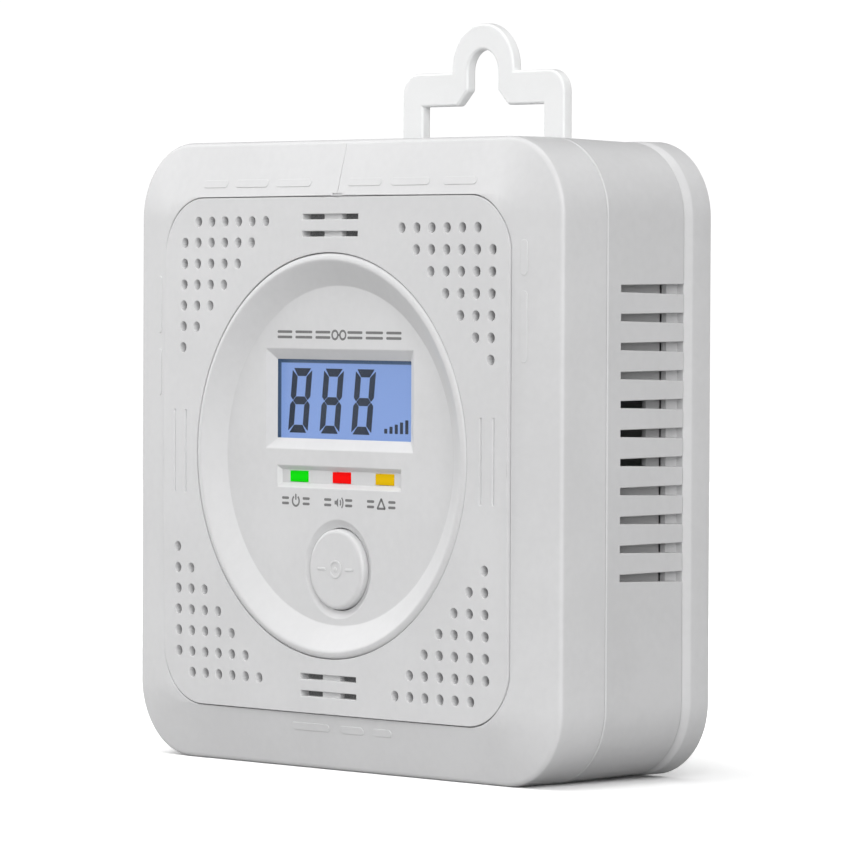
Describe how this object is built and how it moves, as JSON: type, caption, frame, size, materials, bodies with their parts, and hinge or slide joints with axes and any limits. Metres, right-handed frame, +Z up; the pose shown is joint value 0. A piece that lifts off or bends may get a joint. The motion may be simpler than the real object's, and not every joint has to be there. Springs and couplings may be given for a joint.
{
  "type": "carbon monoxide detector",
  "caption": "Square white carbon monoxide alarm with a round display dial, test button, lamps, corner grilles, side vents, battery bay and pull-out hanger.",
  "frame": {"origin": "bottom centre of the box of the whole detector with its hanger pulled out, on the surface it stands on", "axes": "+Z up, +Y towards the wall behind it (the dial faces -Y), +X to the right of someone facing the dial"},
  "size_m": [0.118, 0.0424, 0.1409],
  "materials": {
    "shell_white": "fine satin moulded ABS, warm white",
    "hanger_white": "slightly translucent white polypropylene",
    "screen_felt": "grey non-woven dust felt",
    "clear_window": "clear flat acrylic",
    "spring_steel": "drawn spring wire",
    "lamp_green": "lit green diffused epoxy",
    "lamp_red": "lit red diffused epoxy",
    "lamp_amber": "lit amber diffused epoxy",
    "black_plastic": "black moulded nylon",
    "zinc_steel": "bright zinc plated",
    "tray_plastic": "plain moulded ABS",
    "cell_sleeve": "printed shrink sleeve, no marks",
    "nickel_plate": "nickel plated",
    "lead_red": "PVC insulation",
    "lead_black": "PVC insulation",
    "connector_ivory": "nylon connector",
    "board_green": "solder mask over glass fibre",
    "lcd_blue": "lit blue liquid crystal glass",
    "backlight_acrylic": "light guide",
    "strip_rubber": "striped silicone",
    "sounder_brass": "piezo disc",
    "gasket_foam": "closed-cell foam",
    "chip_black": "moulded epoxy",
    "ferrite": "ferrite and enamelled copper",
    "capacitor_sleeve": "shrink sleeve",
    "chip_ceramic": "sintered ceramic",
    "label_silver": "blank satin label"
  },
  "bodies": {
    "housing": {"front_shell": "shell_white", "face_panel": "shell_white", "display_dial": "shell_white", "rear_housing": "shell_white", "rear_cover": "shell_white", "dust_screens": "screen_felt", "display_window": "clear_window", "button_spring": "spring_steel", "lamp_green": "lamp_green", "lamp_red": "lamp_red", "lamp_amber": "lamp_amber", "lamp_spacers": "black_plastic", "case_screws": "zinc_steel", "battery_tray": "tray_plastic", "cell_top": "cell_sleeve", "cell_middle": "cell_sleeve", "cell_bottom": "cell_sleeve", "cell_springs": "spring_steel", "cell_caps_contacts": "nickel_plate", "spring_plates": "nickel_plate", "lead_red": "lead_red", "lead_black": "lead_black", "lead_plug": "connector_ivory", "lead_socket": "connector_ivory", "main_board": "board_green", "board_screws": "zinc_steel", "lcd_glass": "lcd_blue", "lcd_backlight": "backlight_acrylic", "lcd_frame": "tray_plastic", "lcd_contact_strips": "strip_rubber", "switch_body": "black_plastic", "sounder_can": "black_plastic", "sounder_disc": "sounder_brass", "sounder_gasket": "gasket_foam", "gas_sensor_can": "nickel_plate", "gas_sensor_cap": "tray_plastic", "sensor_socket": "black_plastic", "controller_chip": "chip_black", "driver_chip": "chip_black", "boost_coil": "ferrite", "sounder_coil": "chip_black", "capacitors": "capacitor_sleeve", "chip_resistors": "chip_black", "chip_capacitors": "chip_ceramic", "crystal": "nickel_plate", "rear_label": "label_silver"},
    "button": {"test_button": "shell_white"},
    "plunger": {"switch_plunger": "black_plastic"},
    "hanger": {"hanger": "hanger_white"},
    "battery_door": {"battery_door": "shell_white"}
  },
  "joints": [
    {"name": "test_button_press", "type": "slide", "parent": "housing", "child": "button", "axis": [0, 1, 0], "range_m": [0, 0.0005], "stiffness_N_per_m": 400, "springref_m": -0.001, "deforming": ["button_spring"]},
    {"name": "switch_plunger_press", "type": "slide", "parent": "housing", "child": "plunger", "axis": [0, 1, 0], "range_m": [0, 0.0005]},
    {"name": "hanger_slide", "type": "slide", "parent": "housing", "child": "hanger", "axis": [0, 0, 1], "range_m": [-0.0229, 0]},
    {"name": "battery_door_hinge", "type": "hinge", "parent": "housing", "child": "battery_door", "pos_m": [0, 0.01995, 0.0278], "axis": [-1, 0, 0], "range_deg": [0, 80]}
  ],
  "couplings": [
    {"joint": "switch_plunger_press", "follows": "test_button_press", "ratio": 1}
  ]
}
